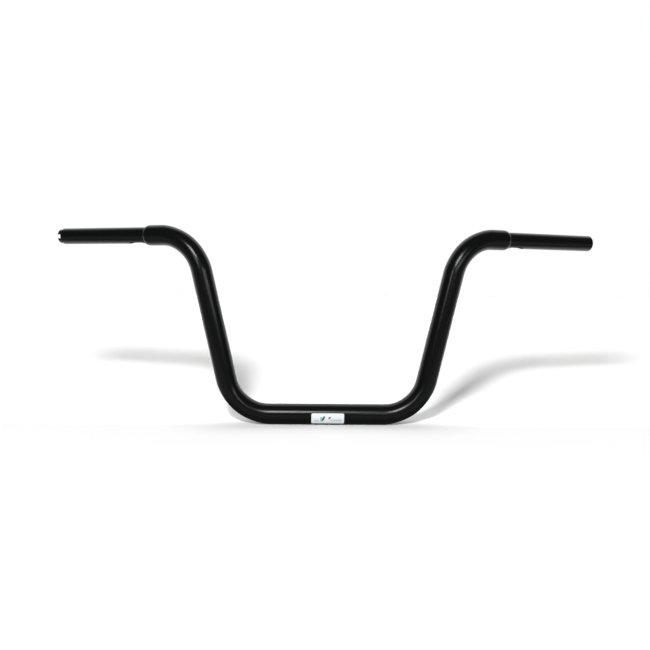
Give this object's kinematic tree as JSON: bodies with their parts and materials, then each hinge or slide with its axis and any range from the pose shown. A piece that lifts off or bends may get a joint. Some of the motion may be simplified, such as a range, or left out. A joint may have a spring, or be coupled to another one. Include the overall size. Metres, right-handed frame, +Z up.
{
  "type": "ape hanger handlebar",
  "caption": "Tall motorcycle handlebar bent from fat tube, with thinner swept-back grip tubes welded into its rounded ends and a notched throttle end.",
  "frame": {"origin": "centre of the straight centre run that the risers clamp, on the tube's axis", "axes": "+X along the clamped run to the rider's left, +Y back towards the rider, +Z up along the bar's height; the throttle grip is on the -X side"},
  "size_m": [0.8799, 0.1237, 0.3045],
  "materials": {
    "black_coat": "satin",
    "label_film": "gloss"
  },
  "bodies": {
    "root": {"main_tube": "black_coat", "throttle_grip_tube": "black_coat", "clutch_grip_tube": "black_coat", "label": "label_film"}
  },
  "joints": []
}
